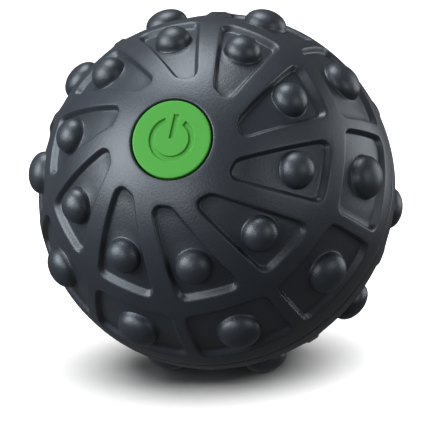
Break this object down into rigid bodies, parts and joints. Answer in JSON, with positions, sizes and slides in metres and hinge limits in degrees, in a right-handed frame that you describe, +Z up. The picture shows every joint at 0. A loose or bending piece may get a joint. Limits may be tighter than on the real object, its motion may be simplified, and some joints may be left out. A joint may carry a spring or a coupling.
{
  "type": "massage ball",
  "caption": "Knobbed vibrating massage ball: two half shells on a quick thread, push button at one pole, battery tray and eccentric-weight motor inside.",
  "frame": {"origin": "floor point under the centre of the ball, which stands on three knobs of its lower half", "axes": "+Z up from the floor; -Y towards the side that the push button is tilted to; the button's axis lies in the YZ plane, 30.04 degrees above level"},
  "size_m": [0.0938, 0.0956, 0.0929],
  "materials": {
    "cover_rubber": "satin soft-touch, charcoal",
    "core_plastic": "moulded, charcoal",
    "button_green": "satin, green",
    "seal_rubber": "matt black",
    "tray_plastic": "moulded, dark grey",
    "cell_sleeve": "satin sleeve, plain grey",
    "contact_metal": "nickel plated",
    "bright_steel": "zinc plated",
    "weight_brass": "turned brass",
    "board_laminate": "green solder mask",
    "switch_plastic": "black moulded",
    "lead_red": "insulated wire, red",
    "lead_black": "insulated wire, black"
  },
  "bodies": {
    "lower_half": {"lower_cover": "cover_rubber", "lower_core": "core_plastic", "bottom_cap": "core_plastic"},
    "seal": {"parting_seal": "seal_rubber"},
    "upper_half": {"upper_cover": "cover_rubber", "upper_core": "core_plastic", "mid_plate": "core_plastic", "plate_screw_1": "bright_steel", "plate_screw_2": "bright_steel", "plate_screw_3": "bright_steel", "battery_tray": "tray_plastic", "battery_cell_1": "cell_sleeve", "battery_cell_2": "cell_sleeve", "battery_cell_3": "cell_sleeve", "spring_contact_1": "contact_metal", "spring_contact_2": "contact_metal", "spring_contact_3": "contact_metal", "plate_contact_1": "contact_metal", "plate_contact_2": "contact_metal", "plate_contact_3": "contact_metal", "motor_can": "bright_steel", "motor_end_cap": "switch_plastic", "motor_cradle": "tray_plastic", "motor_strap": "contact_metal", "circuit_board": "board_laminate", "switch_body": "switch_plastic", "motor_lead_red": "lead_red", "motor_lead_black": "lead_black", "battery_lead_red": "lead_red", "battery_lead_black": "lead_black"},
    "rotor": {"motor_shaft": "bright_steel", "motor_rotor": "weight_brass", "eccentric_weight": "weight_brass"},
    "button": {"button_cap": "button_green"},
    "plunger": {"switch_plunger": "switch_plastic"}
  },
  "joints": [
    {"name": "half_lift", "type": "slide", "parent": "lower_half", "child": "seal", "axis": [0, -0.8657, 0.5006], "range_m": [0, 0.008]},
    {"name": "half_twist", "type": "hinge", "parent": "seal", "child": "upper_half", "pos_m": [0, 0, 0.04646], "axis": [0, -0.8657, 0.5006], "range_deg": [0, 120]},
    {"name": "motor_spin", "type": "hinge", "parent": "upper_half", "child": "rotor", "pos_m": [0, -0.01688, 0.05622], "axis": [1, 0, 0], "continuous": true},
    {"name": "button_press", "type": "slide", "parent": "upper_half", "child": "button", "axis": [0, 0.8657, -0.5006], "range_m": [0, 0.0007], "stiffness_N_per_m": 1500, "springref_m": -0.0005},
    {"name": "plunger_press", "type": "slide", "parent": "upper_half", "child": "plunger", "axis": [0, 0.8657, -0.5006], "range_m": [0, 0.0008]}
  ],
  "couplings": [
    {"joint": "half_lift", "follows": "half_twist", "m_per_rad": 0.0038197},
    {"joint": "plunger_press", "follows": "button_press", "ratio": 1}
  ]
}
